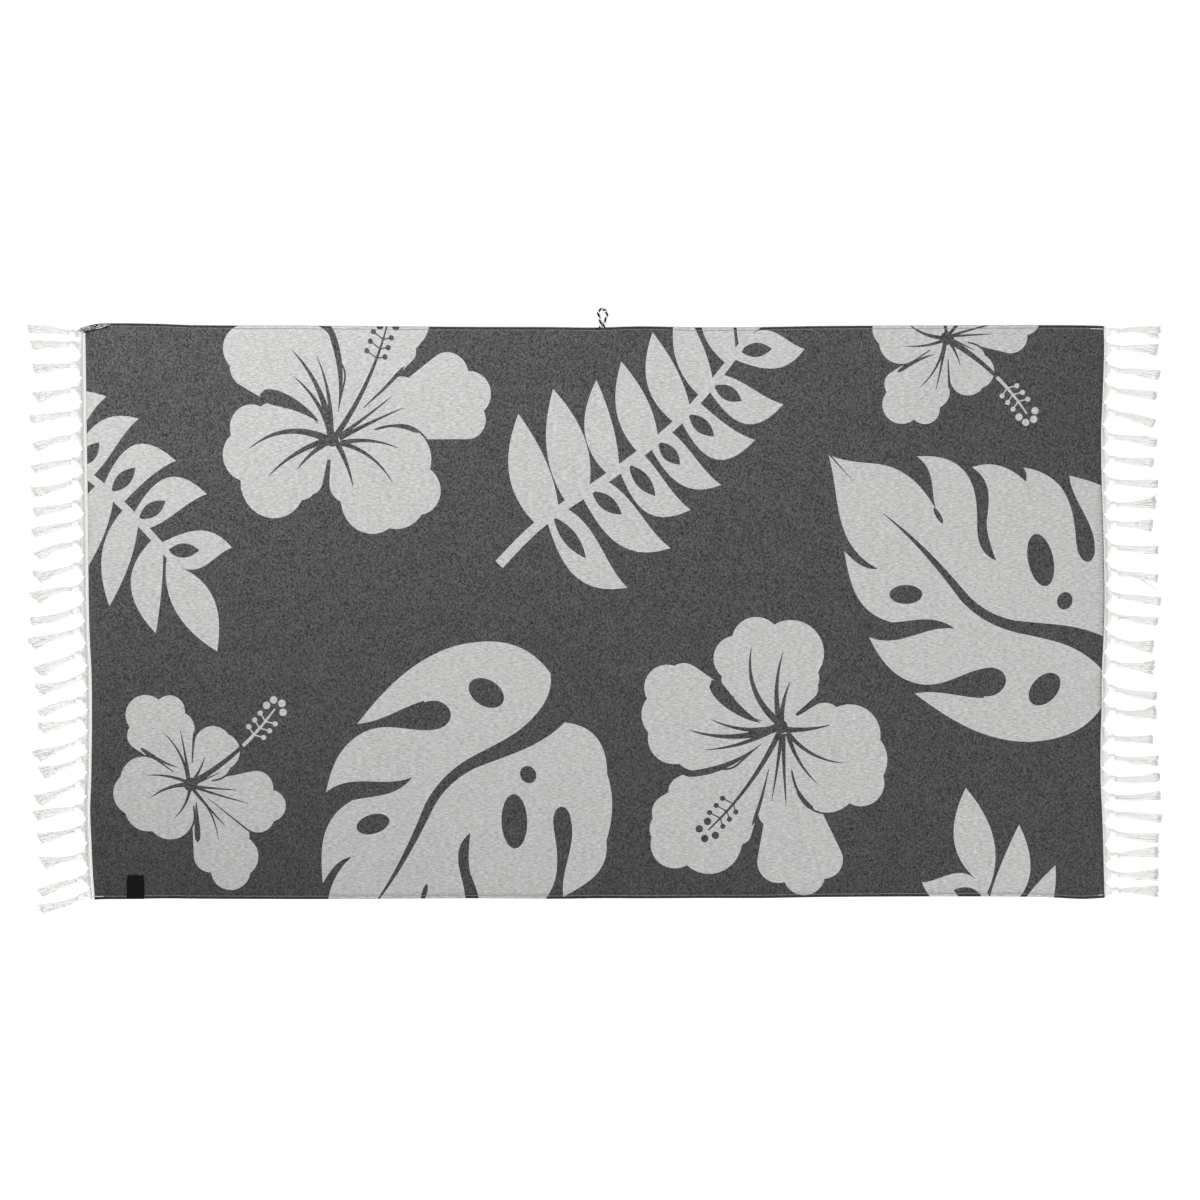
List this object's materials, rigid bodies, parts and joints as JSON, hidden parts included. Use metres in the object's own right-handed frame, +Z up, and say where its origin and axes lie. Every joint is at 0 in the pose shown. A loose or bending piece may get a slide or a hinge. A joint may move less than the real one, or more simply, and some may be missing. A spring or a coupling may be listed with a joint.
{
  "type": "hammam towel",
  "caption": "Flat-woven hammam towel laid flat, with knotted fringes on both ends, hemmed long sides, a cord hanging loop and a plain woven label.",
  "frame": {"origin": "middle of the cloth's underside, on the surface that the towel lies on", "axes": "+X along the towel's length, +Y towards the long side with the hanging loop, +Z up out of the face that shows"},
  "size_m": [1.7863, 0.9549, 0.006],
  "materials": {
    "jacquard_cotton": "charcoal and pale grey figured cotton, matt",
    "fringe_cotton": "undyed white cotton yarn, matt",
    "loop_cord": "black and white twisted cord",
    "label_weave": "black woven tape, faint sheen"
  },
  "bodies": {
    "root": {"cloth": "jacquard_cotton", "fringe_left": "fringe_cotton", "fringe_right": "fringe_cotton", "hanging_loop": "loop_cord", "label": "label_weave"}
  },
  "joints": []
}
